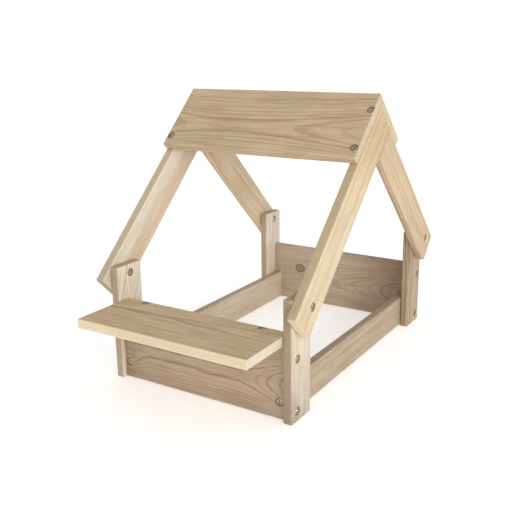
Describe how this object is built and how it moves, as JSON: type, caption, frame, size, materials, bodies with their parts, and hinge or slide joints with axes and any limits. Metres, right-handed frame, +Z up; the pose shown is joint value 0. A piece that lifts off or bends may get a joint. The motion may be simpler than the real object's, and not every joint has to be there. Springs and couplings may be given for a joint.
{
  "type": "open bird feeder house",
  "caption": "Open timber bird feeder house: posts, a low frame of boards, rafters, a ridge roof of boards and a landing shelf at the front, all screwed together.",
  "frame": {"origin": "middle of the footprint, on the surface that the posts stand on", "axes": "+X to the right seen from the landing shelf, +Y from the shelf to the back, +Z up"},
  "size_m": [0.291, 0.4878, 0.3618],
  "materials": {
    "post_timber": "planed untreated pine, pale, fine straight grain, eased edges",
    "frame_timber": "planed untreated pine, flat-sawn grain, one sound knot in the back board",
    "shelf_timber": "planed untreated pine, straight grain, sawn front edge and ends",
    "rafter_timber": "planed untreated pine, pale, straight grain along the rafter",
    "roof_timber": "planed untreated pine, flat-sawn with dark arched growth rings",
    "screw_metal": "zinc-plated countersunk wood screw, cross drive"
  },
  "bodies": {
    "root": {"back_board": "frame_timber", "front_board": "frame_timber", "landing_shelf": "shelf_timber", "post_back_left": "post_timber", "post_back_right": "post_timber", "post_front_left": "post_timber", "post_front_right": "post_timber", "rafter_back_left": "rafter_timber", "rafter_back_right": "rafter_timber", "rafter_front_left": "rafter_timber", "rafter_front_right": "rafter_timber", "roof_board_back": "roof_timber", "roof_board_front": "roof_timber", "side_board_left": "frame_timber", "side_board_right": "frame_timber", "post_screws": "screw_metal", "side_board_screws": "screw_metal", "shelf_screws": "screw_metal", "rafter_screws": "screw_metal", "roof_screws_front": "screw_metal", "roof_screws_back": "screw_metal"}
  },
  "joints": []
}
